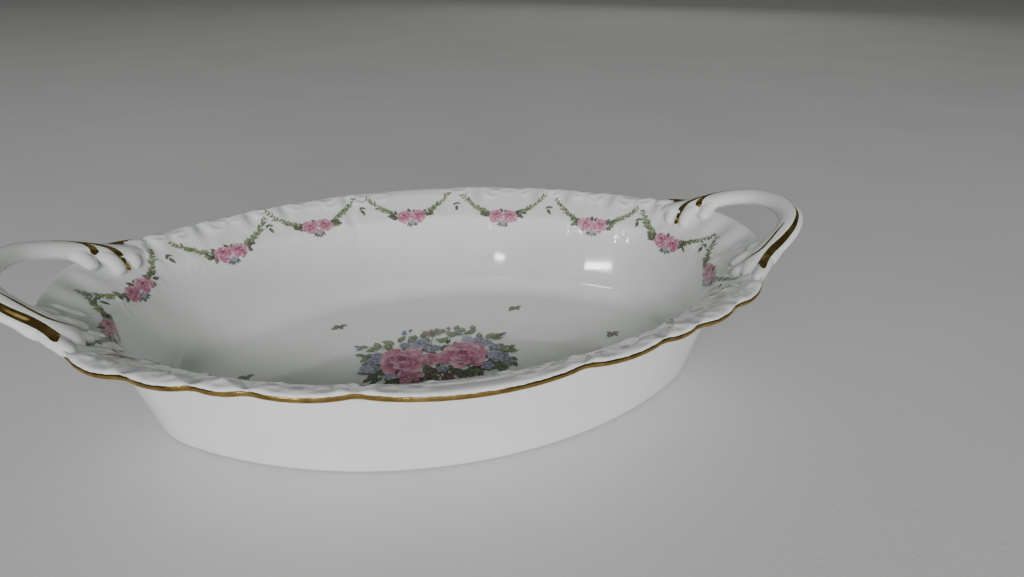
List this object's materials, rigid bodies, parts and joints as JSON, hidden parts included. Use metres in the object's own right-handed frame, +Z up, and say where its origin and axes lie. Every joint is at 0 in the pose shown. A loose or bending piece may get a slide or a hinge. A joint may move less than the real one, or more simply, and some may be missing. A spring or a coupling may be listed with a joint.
{
  "type": "serving bowl",
  "caption": "Oval porcelain serving bowl with a flared scalloped gilt rim, two loop handles, rose garlands round the wall and a rose bouquet on the floor.",
  "frame": {"origin": "middle of the foot's footprint, on the surface the bowl stands on", "axes": "+X along the long axis towards the right handle, +Y across the bowl away from the viewer's side, +Z up"},
  "size_m": [0.311, 0.1796, 0.0646],
  "materials": {
    "porcelain": "clear gloss glaze over white porcelain",
    "gilding": "burnished gilt, slightly worn",
    "garland_print": "printed transfer under gloss: pink roses, green leaves",
    "bouquet_print": "printed transfer under gloss: pink roses, blue flowers, green leaves",
    "sprig_print": "printed transfer under gloss: green leaves"
  },
  "bodies": {
    "root": {"bowl_body": "porcelain", "handle_left": "porcelain", "handle_right": "porcelain", "rim_gilding_front": "gilding", "rim_gilding_back": "gilding", "handle_gilding_left": "gilding", "handle_gilding_right": "gilding", "garland_01": "garland_print", "garland_02": "garland_print", "garland_03": "garland_print", "garland_04": "garland_print", "garland_05": "garland_print", "garland_06": "garland_print", "garland_07": "garland_print", "garland_08": "garland_print", "garland_09": "garland_print", "garland_10": "garland_print", "garland_11": "garland_print", "garland_12": "garland_print", "garland_13": "garland_print", "garland_14": "garland_print", "pendant_sprigs": "sprig_print", "floor_bouquet": "bouquet_print", "floor_sprigs": "sprig_print"}
  },
  "joints": []
}
